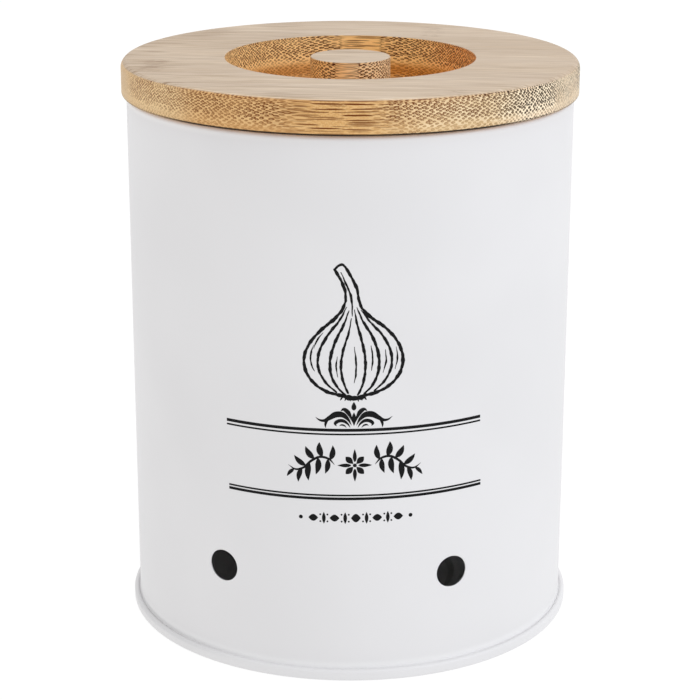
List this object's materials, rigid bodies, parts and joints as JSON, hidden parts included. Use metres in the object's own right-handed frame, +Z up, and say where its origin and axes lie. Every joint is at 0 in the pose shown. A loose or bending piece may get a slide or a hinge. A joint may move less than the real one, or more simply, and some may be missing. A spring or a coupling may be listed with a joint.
{
  "type": "garlic keeper",
  "caption": "Round coated-steel canister with air holes low in its wall, closed by a lift-off bamboo plug lid with a knob standing in a finger recess.",
  "frame": {"origin": "centre of the circle that the canister stands on, at floor level", "axes": "+Z up along the canister's axis, the printed front faces -Y, +X is to the right seen from the front"},
  "size_m": [0.1234, 0.1234, 0.1543],
  "materials": {
    "white_paint": "satin powder coat",
    "bamboo": "fine-sanded laminated bamboo, matt oil",
    "silicone": "milky silicone, matt",
    "print_black": "black screen print on the paint"
  },
  "bodies": {
    "can": {"can_body": "white_paint", "can_bottom": "white_paint"},
    "seal": {"seal_ring": "silicone"},
    "lid": {"lid_board": "bamboo", "lid_plug": "bamboo"}
  },
  "joints": [
    {"name": "lid_lift", "type": "slide", "parent": "can", "child": "seal", "axis": [0, 0, 1], "range_m": [0, 0.12]},
    {"name": "lid_turn", "type": "hinge", "parent": "seal", "child": "lid", "pos_m": [0, 0, 0.1428], "axis": [0, 0, 1], "continuous": true}
  ]
}
